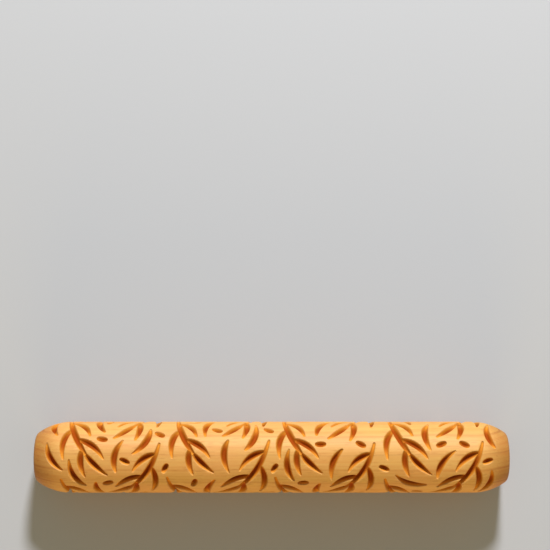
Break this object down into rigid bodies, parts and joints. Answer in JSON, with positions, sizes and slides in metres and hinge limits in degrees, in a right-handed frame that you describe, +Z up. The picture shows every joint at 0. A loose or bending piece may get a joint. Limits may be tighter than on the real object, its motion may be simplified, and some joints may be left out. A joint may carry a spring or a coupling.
{
  "type": "texture roller",
  "caption": "Palm-sized wooden texture roller: a turned bar with domed ends, carved all round with leafy sprigs, loose leaves and berries that it presses into soft clay.",
  "frame": {"origin": "middle of the roller's axis, halfway between its end faces", "axes": "+X along the roller's axis, +Z up with the roller lying on its side, +Y across it"},
  "size_m": [0.2, 0.03, 0.03],
  "materials": {
    "wood": "satin, lightly oiled, with the carved grooves darkened by burning"
  },
  "bodies": {
    "root": {"carved_roller": "wood"}
  },
  "joints": []
}
